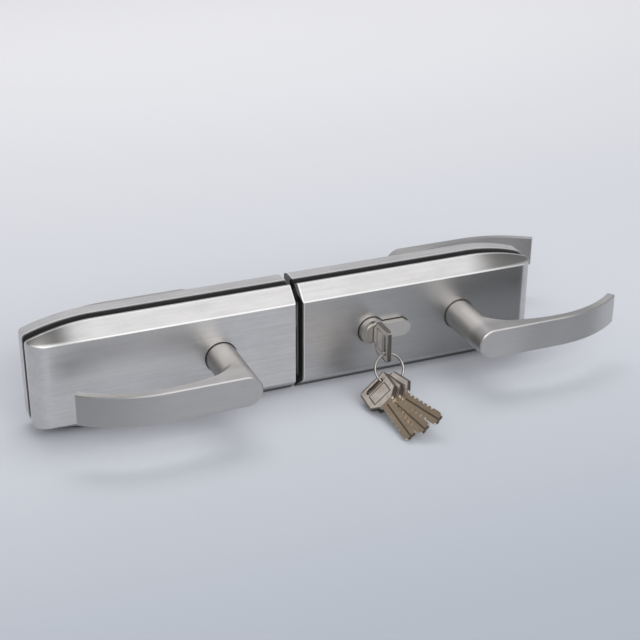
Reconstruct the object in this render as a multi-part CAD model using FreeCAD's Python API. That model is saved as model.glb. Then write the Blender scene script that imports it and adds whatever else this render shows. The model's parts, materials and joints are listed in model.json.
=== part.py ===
import FreeCAD, Part
import math
import os

# Glass door lock for a pair of glass leaves, closed up as it stands before the glass goes in.
# Millimetres, +Z up. X runs along the lock and is 0 on the line where the two leaves meet.
# Y is 0 in the middle of the glass plane, and the front is on the -Y side. Z is 0 at the bottom edge.
# The right half (+X) holds the lock, the left half (-X) holds the strike.

V = FreeCAD.Vector
X_AXIS = V(1, 0, 0)
Y_AXIS = V(0, 1, 0)
Z_AXIS = V(0, 0, 1)
ORIGIN = V(0, 0, 0)
FRONT = -1
BACK = 1
RIGHT = 1
LEFT = -1
REACH_PAST = 1.0          # how far a cutting shape runs past the face that it cuts

# Housing, each half
half_length = 160.0
height = 69.0
meeting_gap = 2.8         # between the two halves
cover_depth = 10.8        # from gasket to flat face
rim_depth = 1.5           # straight edge beside the gasket
chamfer_height = 8.7      # height that the slanted edge takes above and below the flat face
end_arc_length = 42.0     # length over which the outer end narrows
end_drop = 7.5            # how much it narrows, above and below
end_corner_radius = 3.0
end_roll_radius = 12.0    # plan radius with which the flat face turns back at the outer end
end_roll_length = 11.3
right_edge_bevel = 2.2    # width of the bevel on the front cover's meeting edge, lock half
left_edge_bevel = 0.4
edge_bevel_ratio = 2.2    # the bevel runs this many times its width back along the meeting edge
back_edge_bevel = 1.2     # the back covers are flat to the edge, with this bevel round the face
cover_wall = 1.8
hollow_drop_less = 0.5    # the hollow narrows by this much less than the outside
hollow_corner_less = 1.0

# Gaskets and plates
gasket_thickness = 3.1
gasket_seam = 0.5         # left between the two gaskets when no glass is in
gasket_inset = 0.6        # from the housing's outline
plate_thickness = 2.0
plate_clearance = 0.3

# Clamp bolts, with the sleeve that slides in a cup
clamp_bolt_radius = 2.5
clamp_head_radius = 4.8
clamp_head_depth = 2.3
sleeve_radius = 4.2
cup_wall = 1.5
cup_floor = 3.0
sleeve_clearance = 0.3
thread_clearance = 0.05
clamp_margin = 15.5       # from the housing's top and bottom to a clamp bolt
clamp_high = height - clamp_margin
right_clamp_points = [(88.0, clamp_margin), (146.0, clamp_margin), (146.0, clamp_high)]
left_clamp_points = [(-100.0, clamp_margin), (-100.0, clamp_high), (-140.0, clamp_margin),
                     (-140.0, clamp_high)]
clamp_hole_clearance = 0.2
clamp_head_clearance = 0.1
clamp_bolt_short = 1.5    # from the end of the sleeve to the end of the bolt
hex_socket_across = 3.0
hex_socket_depth = 1.8

# Screws that hold the covers and the cases
small_screw_radius = 1.25
small_head_radius = 2.2
small_head_depth = 1.0
boss_radius = 3.4
small_screw_clearance = 0.1
small_slot_half_length = 2.0
small_slot_half_width = 0.3
small_slot_depth = 0.5
cover_screw_short = 1.5   # from the cover's inside to the end of its screw
case_screw_past = 0.5     # end of the screw past the ear
right_boss_points = [(122.0, 16.0), (153.0, height / 2)]
left_boss_points = [(-88.0, height / 2), (-152.0, height / 2)]

# Lock case and strike case
case_half_depth = 9.5
case_wall = 1.5
case_margin = 10.0        # from the housing's top and bottom
forend_thickness = 3.0
tongue_length = 5.0
tongue_half_width = 4.0
tongue_thickness = 1.2
tongue_gap = 0.05
lock_case_end = 132.0
lock_case_step_x = 75.0   # the case is shallower beyond here, to leave room for a clamp bolt
lock_case_step_z = 22.0
strike_case_end = -75.0
case_clearance = 0.3
ear_length = 6.5
ear_thickness = 2.0
ear_width = 8.0
edge_ear_height = 4.4
edge_ear_gap = 0.35       # between the case's edge and the ear's own rectangle
edge_ear_x = 24.0
lock_ear_above_axis = 6.5
fixing_seat_half_length = 5.2
fixing_seat_half_depth = 5.5
fixing_seat_height = 3.5
spring_stop_back_y = 3.0
spring_stop_half_height = 3.6

# Euro profile cylinder
cylinder_x = 48.2
profile_round_radius = 8.5
profile_length = 33.0
profile_web = 10.0
cylinder_half_length = 19.0
cylinder_clearance = 0.35
cover_hole_clearance = 0.5
plug_radius = 6.45
plug_clearance = 0.05
plug_proud = 0.8
cam_half_width = 4.9
cam_slot_half_width = 5.2
cam_ring_radius = 8.0
cam_reach = 15.3
cam_nose_width = 8.0
cam_room = 0.5
fixing_screw_radius = 2.5
fixing_head_radius = 4.2
fixing_head_depth = 2.5
fixing_hole_clearance = 0.1
fixing_hole_past = 5.0    # hole above the case's floor
fixing_screw_past = 3.0   # end of the screw above the axis
fixing_slot_half_length = 3.0
fixing_slot_half_width = 0.5
fixing_slot_depth = 0.9
plug_edge_bevel = 0.4

# Keys
blade_width = 8.0
blade_thickness = 2.2
blade_length = 33.0
blade_root = 1.0          # blade inside the bow
blade_tip_bevel = 1.6
keyway_clearance = 0.1
bow_width = 21.0
bow_length = 20.5
bow_thickness = 2.4
bow_corner_radius = 2.6
bow_shoulder = 5.0
bow_neck_margin = 0.6     # of the bow past the blade's edge, at the shoulder
bow_slot_length = 13.5
bow_slot_width = 3.8
bow_slot_offset = 4.4     # slot's middle from the bow's outer edge
bow_panel_length = 9.0
bow_panel_width = 13.5
bow_panel_gap = 0.5       # from the shoulder to the panel
panel_groove_width = 0.8
panel_groove_depth = 0.3
notch_count = 6
notch_pitch = 4.0
notch_depth = 1.1
notch_start = 4.0
notch_mouth_half = 1.3
notch_floor_half = 0.4
notch_past = 0.1          # mouth outside the blade's edge
groove_start = 2.0
groove_width = 1.1
groove_depth = 0.45
bow_standoff = 0.6        # from the plug's face to the bow's shoulder
ring_radius = 9.2
ring_wire_radius = 0.8
ring_clearance = 0.1
ring_tilt_deg = 29.7      # the ring leans forward, drawn out by the keys that lie on the ground
spare_key_pitch_deg = 9.4
spare_key_roll_deg = 44.5
spare_key_spacing = 2.75  # from plane to plane of the parallel keys
first_key_turn_deg = -43.2
spare_key_places = [5.2, 4.9, 3.1]        # of the ring along each key's slot, from the top key down
spare_key_fans_deg = [1.0, 9.5, 16.0]

# Latch and deadbolt
bolt_travel = 12.0
latch_height = 14.0
latch_below_case_top = 11.0       # to its middle
latch_half_depth = 6.0
latch_reach = 10.0        # past the meeting line
latch_back_x = 16.0
latch_nose_flat = 3.0     # straight part of the nose, before the slant
latch_slant_end = 1.6     # from the meeting edge to where the slant reaches the latch's side
latch_bar_front = -6.5
latch_bar_back = -3.5
latch_bar_height = 4.0
latch_bar_below_case_top = 8.4    # to its lower side
latch_bar_root = 1.0      # bar inside the latch's head
latch_ledge_length = 5.0
latch_ledge_inset = 1.0
latch_leg_thickness = 3.2
latch_leg_gap = 2.5       # above the hub
bolt_clearance = 0.3
deadbolt_below_axis = 13.5        # to its lower side
deadbolt_height = 15.0
deadbolt_half_depth = 5.0
deadbolt_back_x = 29.0
deadbolt_front_gap = 0.3  # behind the meeting edge when it is drawn back
deadbolt_neck_length = 9.0
deadbolt_neck_root = 1.0
deadbolt_bar_inset = 1.0
deadbolt_bar_above_case_low = 3.0
deadbolt_bar_height = 5.2
deadbolt_bar_end = 62.0
latch_spring_radius = 2.4
latch_spring_wire = 0.7
latch_spring_turns = 6
coil_steps = 12           # straight stretches in a turn of any spring
coil_sides = 6            # sides of the wire
latch_spring_below_case_top = 13.6
latch_spring_front_x = 15.5
latch_spring_bore = 3.2
latch_spring_bore_end = 2.0
spring_wall_x = 32.8
spring_wall_thickness = 1.2

# Levers
right_lever_x = 108.5
left_lever_x = -49.0
neck_radius = 9.5
lever_front = 60.5        # flat front of the grip, from the glass plane
grip_reach = 95.0         # from the spindle to the free end
grip_straight = 47.0      # from the spindle to where the grip starts to bend
grip_bend_radius = 79.0
grip_thickness = 5.0
neck_fillet = 14.0        # plan radius from the neck into the grip
grip_taper_deg = 16.0
grip_edge_bevel = 0.7
bush_wall = 0.5
bush_clearance = 0.05
bush_flange_radius = 13.0
bush_flange_thickness = 1.4
bush_set_back = 0.3       # from the cover's face
spindle_width = 8.0
spindle_clearance = 0.1
spindle_end_short = 23.0  # from the lever's front to the end of the spindle
set_screw_radius = 2.5
set_screw_y = 21.0
set_screw_sunk = 0.8
set_screw_across = 2.5
set_screw_socket_depth = 1.9
spindle_room = 0.5        # in the lever, past the spindle's end
right_back_shift = 14.0   # the back levers are drawn out on their spindles, as far as thick glass needs
left_back_shift = 7.0
hub_radius = 9.5
hub_journal_radius = 6.5
hub_front = -4.0
hub_back = 7.6
hub_arm_radius = 17.0
hub_arm_tip_radius = 3.0
hub_arm_half_depth = 3.0
hub_side_gap = 0.1
hub_arm_side_gap = 0.2
hub_spring_gap = 0.3
hub_spring_radius = 8.2
hub_spring_wire = 0.9
hub_spring_turns = 3
arm_gap = 0.8

# Places that follow from the values above
slot_half = gasket_thickness + gasket_seam / 2
face_y = slot_half + cover_depth
rim_y = slot_half + rim_depth
axis_z = height / 2
near_x = meeting_gap / 2
far_x = near_x + half_length
case_top = height - case_margin
grip_height = 2 * neck_radius
plate_y = slot_half + plate_thickness
inner_face_y = face_y - cover_wall
slope = chamfer_height / (face_y - rim_y)
wall_on_slope = cover_wall * math.sqrt(1 + slope * slope)
cup_radius = sleeve_radius + sleeve_clearance + cup_wall
cup_end_y = inner_face_y - plate_clearance
forend_back_x = near_x + forend_thickness
latch_low = case_top - latch_below_case_top - latch_height / 2
latch_bar_low = case_top - latch_bar_below_case_top
latch_spring_z = case_top - latch_spring_below_case_top
deadbolt_low = axis_z - deadbolt_below_axis
deadbolt_bar_low = case_margin + deadbolt_bar_above_case_low
profile_end_x = cylinder_x - profile_round_radius + profile_length
neck_end_y = case_half_depth + 0.9
bush_inner_radius = neck_radius + bush_clearance
bush_outer_radius = bush_inner_radius + bush_wall
cover_neck_radius = bush_outer_radius + bush_clearance
plug_face_y = cylinder_half_length + plug_proud
bow_start_y = plug_face_y + bow_standoff


def box(x0, x1, y0, y1, z0, z1):
    corner = V(min(x0, x1), min(y0, y1), min(z0, z1))
    return Part.makeBox(abs(x1 - x0), abs(y1 - y0), abs(z1 - z0), corner)


def rod_y(radius, y0, y1, x, z):
    return Part.makeCylinder(radius, abs(y1 - y0), V(x, min(y0, y1), z), Y_AXIS)


def rod_z(radius, z0, z1, x, y):
    return Part.makeCylinder(radius, abs(z1 - z0), V(x, y, min(z0, z1)), Z_AXIS)


def cone_y(radius0, radius1, y0, y1, x, z):
    """Cone along Y from radius0 at y0 to radius1 at y1."""
    direction = Y_AXIS if y1 > y0 else V(0, -1, 0)
    return Part.makeCone(radius0, radius1, abs(y1 - y0), V(x, y0, z), direction)


def prism_y(points, y0, y1):
    """Straight-sided outline in X and Z, carried from y0 to y1."""
    wire = Part.makePolygon([V(x, y0, z) for x, z in points + points[:1]])
    return Part.Face(wire).extrude(V(0, y1 - y0, 0))


def join(shapes):
    result = shapes[0]
    if len(shapes) > 1:
        result = result.multiFuse(shapes[1:])
    return result.removeSplitter()


def arc(start, middle, end):
    return Part.Arc(start, middle, end).toShape()


def line(start, end):
    return Part.makeLine(start, end)


def to_side(shape, side):
    """Front shapes are drawn at -Y; the back ones are their mirror image in the glass plane."""
    return shape if side == FRONT else shape.mirror(ORIGIN, Y_AXIS)


def to_hand(shape, hand):
    return shape if hand == RIGHT else shape.mirror(ORIGIN, X_AXIS)


# Outline of one half

def end_circle(drop):
    """Radius of the arc that starts level and drops by this much at the outer end."""
    return (end_arc_length ** 2 + drop ** 2) / (2 * drop)


def rim_wire(x0, x1, low, drop, corner, y):
    """Outline at the rim, from the meeting edge to the narrowed outer end."""
    radius = end_circle(drop)
    arc_x = x1 - end_arc_length
    centre_z = low + radius
    corner_z = centre_z - math.sqrt((radius - corner) ** 2 - (end_arc_length - corner) ** 2)
    turn = math.atan2(centre_z - corner_z, end_arc_length - corner)
    touch = V(arc_x + radius * math.cos(turn), y, centre_z - radius * math.sin(turn))
    middle_turn = (math.pi / 2 + turn) / 2
    arc_middle = V(arc_x + radius * math.cos(middle_turn), y, centre_z - radius * math.sin(middle_turn))
    half_turn = turn / 2
    corner_middle = V(x1 - corner + corner * math.cos(half_turn), y, corner_z - corner * math.sin(half_turn))
    start = V(arc_x, y, low)
    side = V(x1, y, corner_z)

    def up(point):
        return V(point.x, y, height - point.z)

    near_low = V(x0, y, low)
    return Part.Wire([
        line(near_low, start),
        arc(start, arc_middle, touch),
        arc(touch, corner_middle, side),
        line(side, up(side)),
        arc(up(side), up(corner_middle), up(touch)),
        arc(up(touch), up(arc_middle), up(start)),
        line(up(start), up(near_low)),
        line(up(near_low), near_low),
    ]), touch.x, corner_z


def face_wire(x0, x1, low, touch_x, side_z, y):
    """Outline of the flat face, with one edge for each edge of the rim."""
    side_low = max(side_z, low + REACH_PAST)
    lower = [V(x0, y, low), V(x1 - end_arc_length, y, low), V(touch_x, y, low), V(x1, y, side_low)]
    upper = [V(point.x, y, height - point.z) for point in reversed(lower)]
    return Part.makePolygon(lower + upper + lower[:1])


def roll_profile(x0, x1, face, radius, length, bevel):
    """Plan shape with a bevel at the meeting edge, that turns the flat face back at the outer end."""
    centre_y = face + radius
    end_y = centre_y - math.sqrt(radius ** 2 - length ** 2)
    turn = math.asin(length / radius) / 2
    start = V(x1 - length, face, -REACH_PAST)
    middle = V(x1 - length + radius * math.sin(turn), centre_y - radius * math.cos(turn), -REACH_PAST)
    end = V(x1, end_y, -REACH_PAST)
    near_back = V(x0, REACH_PAST, -REACH_PAST)
    far_back = V(x1, REACH_PAST, -REACH_PAST)
    bevel_side = V(x0, face + bevel * edge_bevel_ratio, -REACH_PAST)
    bevel_face = V(x0 + bevel, face, -REACH_PAST)
    wire = Part.Wire([line(near_back, bevel_side), line(bevel_side, bevel_face), line(bevel_face, start),
                      arc(start, middle, end), line(end, far_back), line(far_back, near_back)])
    return Part.Face(wire).extrude(V(0, 0, height + 2 * REACH_PAST))


def half_form(x0, x1, low, face_low, drop, corner, face, roll_radius, roll_length, bevel, back):
    """Solid form of a front cover: rim, slanted edges, flat face and rolled end."""
    rim, touch_x, side_z = rim_wire(x0, x1, low, drop, corner, -rim_y)
    flat = face_wire(x0, x1, face_low, touch_x, side_z, -face)
    slanted = Part.makeLoft([rim, flat], True, True)
    straight = Part.Face(rim).extrude(V(0, rim_y - back, 0))
    body = slanted.fuse(straight)
    return body.common(roll_profile(x0, x1, -face, roll_radius, roll_length, bevel))


def front_form(bevel):
    return half_form(near_x, far_x, 0, chamfer_height, end_drop, end_corner_radius, face_y,
                     end_roll_radius, end_roll_length, bevel, slot_half)


def front_hollow():
    """Hollow of a front cover, drawn in by the wall."""
    face_low = chamfer_height - cover_wall * slope + wall_on_slope
    drop = end_drop - hollow_drop_less
    corner = end_corner_radius - hollow_corner_less
    return half_form(near_x + cover_wall, far_x - cover_wall, wall_on_slope, face_low, drop, corner,
                     inner_face_y, end_roll_radius - cover_wall, end_roll_length - cover_wall,
                     left_edge_bevel, slot_half - REACH_PAST)


def back_form():
    """Back covers are flat to the edge, with a small bevel round the face."""
    body = flat_sheet(0, -slot_half, -face_y)
    face_edges = [edge for edge in body.Edges if abs(edge.BoundBox.YMin + face_y) < 0.01
                  and abs(edge.BoundBox.YMax + face_y) < 0.01]
    return body.makeChamfer(back_edge_bevel, face_edges)


def back_hollow():
    return flat_sheet(cover_wall, -slot_half + REACH_PAST, -inner_face_y)


def case_outline(hand, clearance, start_x):
    """Outline of the lock case or strike case, in X and Z, grown by a clearance."""
    low = case_margin - clearance
    high = case_top + clearance
    if hand == RIGHT:
        step_x = lock_case_step_x - clearance
        step_z = lock_case_step_z - clearance
        end = lock_case_end + clearance
        return [(start_x, low), (step_x + 2 * clearance, low), (step_x + 2 * clearance, step_z),
                (end, step_z), (end, high), (start_x, high)]
    end = strike_case_end - clearance
    return [(end, low), (-start_x, low), (-start_x, high), (end, high)]


def profile_shape(clearance, y0, y1):
    """Euro profile: a round part and a narrower web that points away from the meeting edge."""
    web_half = profile_web / 2 + clearance
    end_x = profile_end_x + clearance
    round_part = rod_y(profile_round_radius + clearance, y0, y1, cylinder_x, axis_z)
    web = box(cylinder_x, end_x - web_half, y0, y1, axis_z - web_half, axis_z + web_half)
    web_end = rod_y(web_half, y0, y1, end_x - web_half, axis_z)
    return join([round_part, web, web_end])


def clamp_points_of(hand):
    return right_clamp_points if hand == RIGHT else left_clamp_points


def boss_points_of(hand):
    return right_boss_points if hand == RIGHT else left_boss_points


def lever_x_of(hand):
    return right_lever_x if hand == RIGHT else left_lever_x


def shift_of(hand, side):
    """How far a lever is drawn out on its spindle."""
    if side == FRONT:
        return 0
    return right_back_shift if hand == RIGHT else left_back_shift


# Covers, plates and gaskets

def cover(hand, side):
    boss_points = boss_points_of(hand)
    bevel = right_edge_bevel if hand == RIGHT else left_edge_bevel
    shell = front_form(bevel).cut(front_hollow()) if side == FRONT else back_form().cut(back_hollow())
    mouth = box(0, near_x + cover_wall + REACH_PAST, -case_half_depth - case_clearance, 0,
                case_margin - case_clearance, case_top + case_clearance)
    shell = to_hand(shell.cut(mouth), hand)
    bosses = [rod_y(boss_radius, -plate_y, -inner_face_y - cover_wall / 2, x, z) for x, z in boss_points]
    shell = shell.fuse(bosses)
    cuts = [rod_y(small_screw_radius, -plate_y + REACH_PAST, -inner_face_y, x, z) for x, z in boss_points]
    cuts.append(rod_y(cover_neck_radius, -face_y - REACH_PAST, -inner_face_y + REACH_PAST,
                      lever_x_of(hand), axis_z))
    if hand == RIGHT:
        cuts.append(profile_shape(cover_hole_clearance, -face_y - REACH_PAST, -inner_face_y + REACH_PAST))
    return to_side(shell.cut(cuts).removeSplitter(), side)


def flat_sheet(inset, y0, y1):
    """Flat sheet with the outline of the right half, drawn in by an inset."""
    wire = rim_wire(near_x + inset, far_x - inset, inset, end_drop, end_corner_radius, y0)[0]
    return Part.Face(wire).extrude(V(0, y1 - y0, 0))


def plate_inset():
    return wall_on_slope + plate_clearance + (plate_y - rim_y) * slope


def plate_blank(hand):
    blank = to_hand(flat_sheet(plate_inset(), -plate_y, -slot_half), hand)
    opening = prism_y(case_outline(hand, case_clearance, 0), -plate_y - REACH_PAST, -slot_half + REACH_PAST)
    return blank.cut(opening)


def ear_points(hand):
    """Middle of each ear of the case, in X and Z, and the way that it points."""
    sign = hand
    end = lock_case_end if hand == RIGHT else strike_case_end
    end_z = axis_z + lock_ear_above_axis if hand == RIGHT else axis_z
    points = [(sign * edge_ear_x, case_top + edge_ear_height / 2 + edge_ear_gap, "top"),
              (sign * edge_ear_x, case_margin - edge_ear_height / 2 - edge_ear_gap, "bottom"),
              (end + sign * ear_length / 2, end_z, "end")]
    return points


def ear_screw_points(hand):
    return [ear[:2] for ear in ear_points(hand)]


def front_plate(hand):
    clamp_points = clamp_points_of(hand)
    cups = []
    for x, z in clamp_points:
        cups.append(rod_y(cup_radius, -cup_end_y, -plate_y, x, z))
    plate = plate_blank(hand).fuse(cups)
    cuts = []
    for x, z in clamp_points:
        cuts.append(rod_y(sleeve_radius + sleeve_clearance, -cup_end_y + cup_floor, 0, x, z))
        cuts.append(rod_y(clamp_bolt_radius + clamp_hole_clearance, -cup_end_y - REACH_PAST, 0, x, z))
        cuts.append(cone_y(clamp_head_radius + clamp_head_clearance,
                           clamp_bolt_radius + clamp_head_clearance, -cup_end_y,
                           -cup_end_y + clamp_head_depth, x, z))
    for x, z in boss_points_of(hand) + ear_screw_points(hand):
        cuts.append(rod_y(small_screw_radius + small_screw_clearance, -plate_y - REACH_PAST, 0, x, z))
        cuts.append(cone_y(small_head_radius + small_screw_clearance, small_screw_radius, -slot_half,
                           -slot_half - small_head_depth, x, z))
    return plate.cut(cuts).removeSplitter()


def back_plate(hand):
    """Plate of the back half, with the threaded sleeves that slide into the cups of the front half."""
    clamp_points = clamp_points_of(hand)
    blank = to_side(plate_blank(hand), BACK)
    sleeve_end = -cup_end_y + cup_floor + sleeve_clearance
    posts = []
    for x, z in clamp_points:
        posts.append(rod_y(sleeve_radius, sleeve_end, plate_y, x, z))
        posts.append(rod_y(cup_radius, slot_half, cup_end_y, x, z))
    plate = blank.fuse(posts)
    cuts = []
    for x, z in clamp_points:
        cuts.append(rod_y(clamp_bolt_radius + thread_clearance, sleeve_end - REACH_PAST,
                          cup_end_y + REACH_PAST, x, z))
    for x, z in boss_points_of(hand):
        cuts.append(rod_y(small_screw_radius + small_screw_clearance, 0, plate_y + REACH_PAST, x, z))
        cuts.append(cone_y(small_head_radius + small_screw_clearance, small_screw_radius, slot_half,
                           slot_half + small_head_depth, x, z))
    return plate.cut(cuts).removeSplitter()


def gasket(hand, side):
    """Rubber sheet around the case, open towards the meeting edge."""
    sheet = to_hand(flat_sheet(gasket_inset, -slot_half, -gasket_seam / 2), hand)
    opening = prism_y(case_outline(hand, case_clearance, 0), -slot_half - REACH_PAST, 0)
    holes = [rod_y(sleeve_radius + sleeve_clearance, -slot_half - REACH_PAST, 0, x, z)
             for x, z in clamp_points_of(hand)]
    return to_side(sheet.cut([opening] + holes).removeSplitter(), side)


# Fasteners

def hexagon_y(across, y0, y1, x, z):
    radius = across / math.sqrt(3)
    corners = [(x + radius * math.cos(math.radians(60 * i)), z + radius * math.sin(math.radians(60 * i)))
               for i in range(6)]
    return prism_y(corners, y0, y1)


def clamp_bolt(x, z):
    head_end = -cup_end_y + clamp_head_depth
    head = cone_y(clamp_head_radius, clamp_bolt_radius, -cup_end_y, head_end, x, z)
    shank = rod_y(clamp_bolt_radius, head_end, cup_end_y - clamp_bolt_short, x, z)
    socket = hexagon_y(hex_socket_across, -cup_end_y - REACH_PAST, -cup_end_y + hex_socket_depth, x, z)
    return head.fuse(shank).removeSplitter().cut(socket)


def small_screw(x, z, side, end_y):
    """Countersunk screw whose head lies in the plate, under the gasket."""
    radius = small_screw_radius - small_screw_clearance
    head = cone_y(small_head_radius, radius, -slot_half, -slot_half - small_head_depth, x, z)
    shank = rod_y(radius, -slot_half - small_head_depth, -end_y, x, z)
    slot = box(x - small_slot_half_length, x + small_slot_half_length, -slot_half - small_slot_depth, 0,
               z - small_slot_half_width, z + small_slot_half_width)
    return to_side(head.fuse(shank).removeSplitter().cut(slot), side)


def group(shapes):
    return Part.makeCompound(shapes)


# Cases

def case_ears(hand):
    """Ears that lie on the front plate, and what they grow from."""
    ears = []
    for x, z, way in ear_points(hand):
        if way == "end":
            half = ear_length / 2
            ears.append(box(x - hand * (half + case_wall / 2), x + hand * half, -plate_y - ear_thickness,
                            -plate_y, z - ear_width / 2, z + ear_width / 2))
        else:
            lean = 1 if way == "top" else -1
            ears.append(box(x - ear_width / 2, x + ear_width / 2, -plate_y - ear_thickness, -plate_y,
                            z - lean * (edge_ear_height / 2 + case_wall / 2), z + lean * edge_ear_height / 2))
    return ears


def case_tray(hand, holes, extras):
    """Open box with its front wall towards the front cover, and ears on the front plate."""
    start = forend_back_x
    outer = prism_y(case_outline(hand, 0, start), -case_half_depth, case_half_depth - case_wall)
    inner_points = case_outline(hand, -case_wall, start - REACH_PAST)
    inner = prism_y(inner_points, -case_half_depth + case_wall, case_half_depth)
    tray = outer.cut(inner).fuse(case_ears(hand) + extras)
    screw_holes = [rod_y(small_screw_radius, -plate_y - ear_thickness - REACH_PAST, 0, x, z)
                   for x, z in ear_screw_points(hand)]
    return tray.cut(holes + screw_holes).removeSplitter()


def case_lid(hand, holes):
    lid = prism_y(case_outline(hand, 0, forend_back_x), case_half_depth - case_wall, case_half_depth)
    return lid.cut(holes).removeSplitter()


def hub_hole(lever_x):
    return rod_y(hub_journal_radius + bush_clearance, -case_half_depth - REACH_PAST,
                 case_half_depth + REACH_PAST, lever_x, axis_z)


def fixing_screw_x():
    return (cylinder_x + cam_reach + cam_room + profile_end_x) / 2


def lock_case_holes():
    return [hub_hole(right_lever_x),
            profile_shape(cylinder_clearance, -case_half_depth - REACH_PAST, case_half_depth + REACH_PAST)]


def lock_case():
    """Case of the lock, with the stop of the latch spring and the seat of the cylinder's screw."""
    screw_x = fixing_screw_x()
    inner_low = case_margin + case_wall
    seat = box(screw_x - fixing_seat_half_length, screw_x + fixing_seat_half_length, -fixing_seat_half_depth,
               fixing_seat_half_depth, inner_low - case_wall / 2, inner_low + fixing_seat_height)
    spring_stop = box(spring_wall_x, spring_wall_x + spring_wall_thickness, -case_half_depth + case_wall / 2,
                      spring_stop_back_y, latch_spring_z - spring_stop_half_height,
                      latch_spring_z + spring_stop_half_height)
    screw_holes = [rod_z(fixing_head_radius + fixing_hole_clearance, 0, case_margin + fixing_head_depth,
                         screw_x, 0),
                   rod_z(fixing_screw_radius + fixing_hole_clearance, 0, inner_low + fixing_hole_past,
                         screw_x, 0)]
    return case_tray(RIGHT, lock_case_holes() + screw_holes, [seat, spring_stop])


def lock_case_lid():
    return case_lid(RIGHT, lock_case_holes())


def strike_case():
    return case_tray(LEFT, [hub_hole(left_lever_x)], [])


def strike_case_lid():
    return case_lid(LEFT, [hub_hole(left_lever_x)])


def bolt_openings(x0, x1):
    """Openings for the latch and the deadbolt, through either forend."""
    grow = bolt_clearance
    latch_hole = box(x0, x1, -latch_half_depth - grow, latch_half_depth + grow, latch_low - grow,
                     latch_low + latch_height + grow)
    deadbolt_hole = box(x0, x1, -deadbolt_half_depth - grow, deadbolt_half_depth + grow, deadbolt_low - grow,
                        deadbolt_low + deadbolt_height + grow)
    return [latch_hole, deadbolt_hole]


def forend(hand):
    """Plate that closes the case at the meeting edge, with two tongues inside the case's walls."""
    plate = box(hand * near_x, hand * forend_back_x, -case_half_depth, case_half_depth, case_margin, case_top)
    low = case_margin + case_wall + tongue_gap
    tongues = []
    for z in (low, height - low - tongue_thickness):
        tongues.append(box(hand * (forend_back_x - REACH_PAST), hand * (forend_back_x + tongue_length),
                           -tongue_half_width, tongue_half_width, z, z + tongue_thickness))
    cuts = bolt_openings(hand * (near_x - REACH_PAST), hand * (forend_back_x + REACH_PAST))
    return plate.fuse(tongues).removeSplitter().cut(cuts)


# Cylinder, plugs and cam

def euro_cylinder():
    """Profile body, bored for the plugs and cut away in the middle for the turning cam."""
    body = profile_shape(0, -cylinder_half_length, cylinder_half_length)
    bore = rod_y(plug_radius + plug_clearance, -cylinder_half_length - REACH_PAST,
                 cylinder_half_length + REACH_PAST, cylinder_x, axis_z)
    cam_space = box(cylinder_x - profile_round_radius - REACH_PAST, cylinder_x + cam_reach + cam_room,
                    -cam_slot_half_width, cam_slot_half_width, axis_z - profile_round_radius - REACH_PAST,
                    axis_z + profile_round_radius + REACH_PAST)
    screw_hole = rod_z(fixing_screw_radius + thread_clearance, axis_z - profile_web, axis_z + profile_web,
                       fixing_screw_x(), 0)
    return body.cut([bore, cam_space, screw_hole]).removeSplitter()


def keyway(y0, y1):
    half_t = blade_thickness / 2 + keyway_clearance
    half_w = blade_width / 2 + keyway_clearance
    return box(cylinder_x - half_t, cylinder_x + half_t, y0, y1, axis_z - half_w, axis_z + half_w)


def plug(side):
    body = rod_y(plug_radius, -plug_face_y, -cam_slot_half_width, cylinder_x, axis_z)
    face_edges = [edge for edge in body.Edges if abs(edge.BoundBox.YMin + plug_face_y) < 0.01
                  and abs(edge.BoundBox.YMax + plug_face_y) < 0.01]
    body = body.makeChamfer(plug_edge_bevel, face_edges)
    body = body.cut(keyway(-plug_face_y - REACH_PAST, 0))
    return to_side(body, side)


def cylinder_cam():
    ring = rod_y(cam_ring_radius, -cam_half_width, cam_half_width, cylinder_x, axis_z)
    tip_radius = cam_nose_width / 2
    nose = box(cylinder_x, cylinder_x + cam_reach - tip_radius, -cam_half_width, cam_half_width,
               axis_z - tip_radius, axis_z + tip_radius)
    tip = rod_y(tip_radius, -cam_half_width, cam_half_width, cylinder_x + cam_reach - tip_radius, axis_z)
    return join([ring, nose, tip]).cut(keyway(-cam_half_width - REACH_PAST, cam_half_width + REACH_PAST))


def fixing_screw():
    """Screw that holds the cylinder, up through the bottom of the case."""
    x = fixing_screw_x()
    head = rod_z(fixing_head_radius, case_margin, case_margin + fixing_head_depth, x, 0)
    shank = rod_z(fixing_screw_radius, case_margin + fixing_head_depth, axis_z + fixing_screw_past, x, 0)
    slot = box(x - fixing_slot_half_length, x + fixing_slot_half_length, -fixing_slot_half_width,
               fixing_slot_half_width, case_margin - REACH_PAST, case_margin + fixing_slot_depth)
    return head.fuse(shank).removeSplitter().cut(slot)


# Keys, drawn flat: the blade points along +X from the bow's shoulder at X 0, thickness along Z

def bow_outline():
    """Five-sided bow with rounded outer corners and slanted shoulders towards the blade."""
    half = bow_width / 2
    r = bow_corner_radius
    out = -bow_length
    bend = r * (1 - math.sqrt(0.5))
    neck = blade_width / 2 + bow_neck_margin
    points = [V(0, neck, 0), V(-bow_shoulder, half, 0), V(out + r, half, 0), V(out + bend, half - bend, 0),
              V(out, half - r, 0)]
    lower = [V(p.x, -p.y, 0) for p in points]
    return Part.Wire([
        line(points[0], points[1]),
        line(points[1], points[2]),
        arc(points[2], points[3], points[4]),
        line(points[4], lower[4]),
        arc(lower[4], lower[3], lower[2]),
        line(lower[2], lower[1]),
        line(lower[1], lower[0]),
        line(lower[0], points[0]),
    ])


def round_slot(length, width, x, depth):
    """Slot with round ends along Y, centred at x."""
    half = (length - width) / 2
    radius = width / 2
    return join([Part.makeBox(width, 2 * half, 2 * depth, V(x - radius, -half, -depth)),
                 rod_z(radius, -depth, depth, x, half),
                 rod_z(radius, -depth, depth, x, -half)])


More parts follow.
